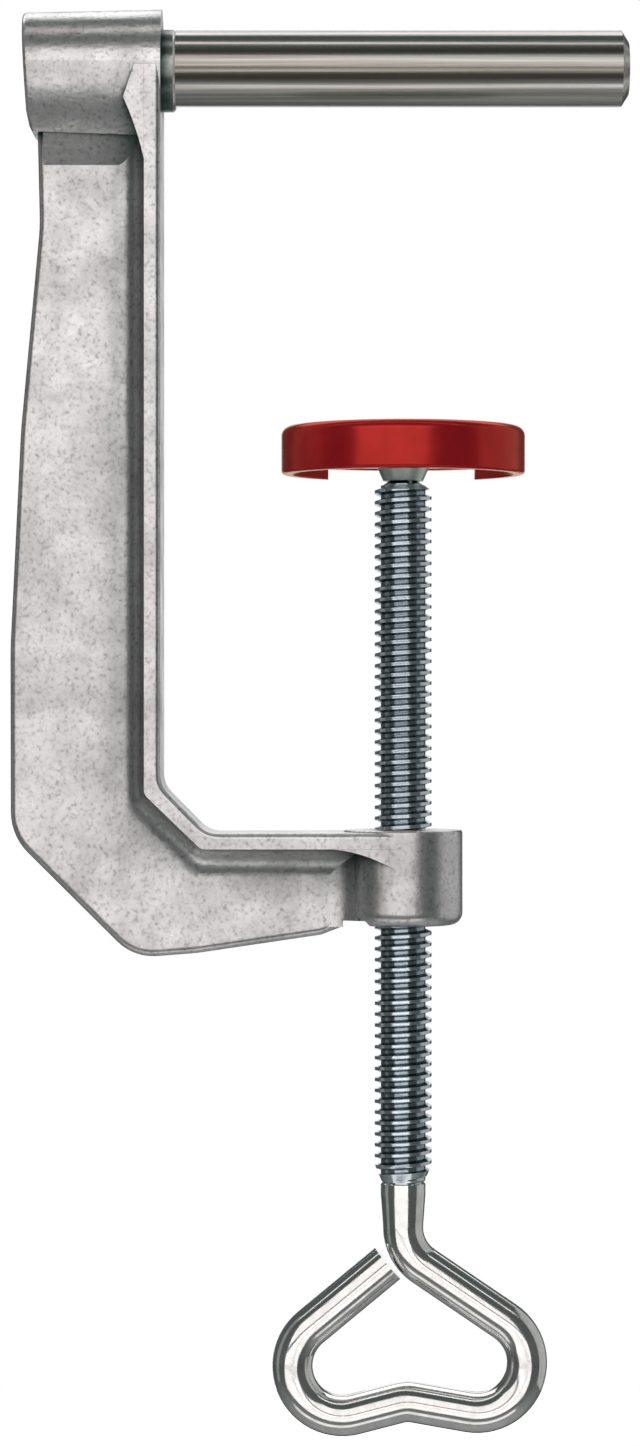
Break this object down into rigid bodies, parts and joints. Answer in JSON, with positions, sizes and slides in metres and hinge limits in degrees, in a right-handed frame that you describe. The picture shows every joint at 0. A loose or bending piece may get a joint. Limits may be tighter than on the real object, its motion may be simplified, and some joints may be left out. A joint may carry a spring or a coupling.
{
  "type": "table clamp",
  "caption": "Table clamp: cast C frame with a plain round mounting bar on top, a threaded spindle with a bent wire handle, and a swivelling plate in a plastic cap.",
  "frame": {"origin": "where the mounting bar's axis crosses the spindle's axis", "axes": "+X along the mounting bar towards its free end, +Z along the spindle from the handle towards the bar, +Y away from the side that the picture shows"},
  "size_m": [0.0851, 0.0336, 0.1968],
  "materials": {
    "cast_alloy": "tumbled die casting, matte",
    "drawn_steel": "drawn and lightly polished along its length",
    "zinc_plated_thread": "bright zinc with a blue tint",
    "plated_wire": "bright zinc",
    "spring_steel": "oiled",
    "plated_plate": "satin zinc",
    "red_plastic": "moulded, satin gloss"
  },
  "bodies": {
    "frame": {"clamp_frame": "cast_alloy", "mounting_bar": "drawn_steel"},
    "swivel": {"retaining_ring": "spring_steel"},
    "pad": {"pressure_plate": "plated_plate", "protective_cap": "red_plastic"},
    "spindle": {"spindle_screw": "zinc_plated_thread", "handle_wire": "plated_wire"}
  },
  "joints": [
    {"name": "spindle_feed", "type": "slide", "parent": "frame", "child": "swivel", "axis": [0, 0, 1], "range_m": [-0.0465, 0.036]},
    {"name": "spindle_turn", "type": "hinge", "parent": "swivel", "child": "spindle", "pos_m": [0, 0, -0.0524], "axis": [0, 0, 1], "range_deg": [-11160, 8640]},
    {"name": "pad_tilt", "type": "hinge", "parent": "swivel", "child": "pad", "pos_m": [0, 0, -0.0532], "axis": [0, 1, 0], "range_deg": [-4, 4]}
  ],
  "couplings": [
    {"joint": "spindle_turn", "follows": "spindle_feed", "rad_per_m": 4188.8}
  ]
}
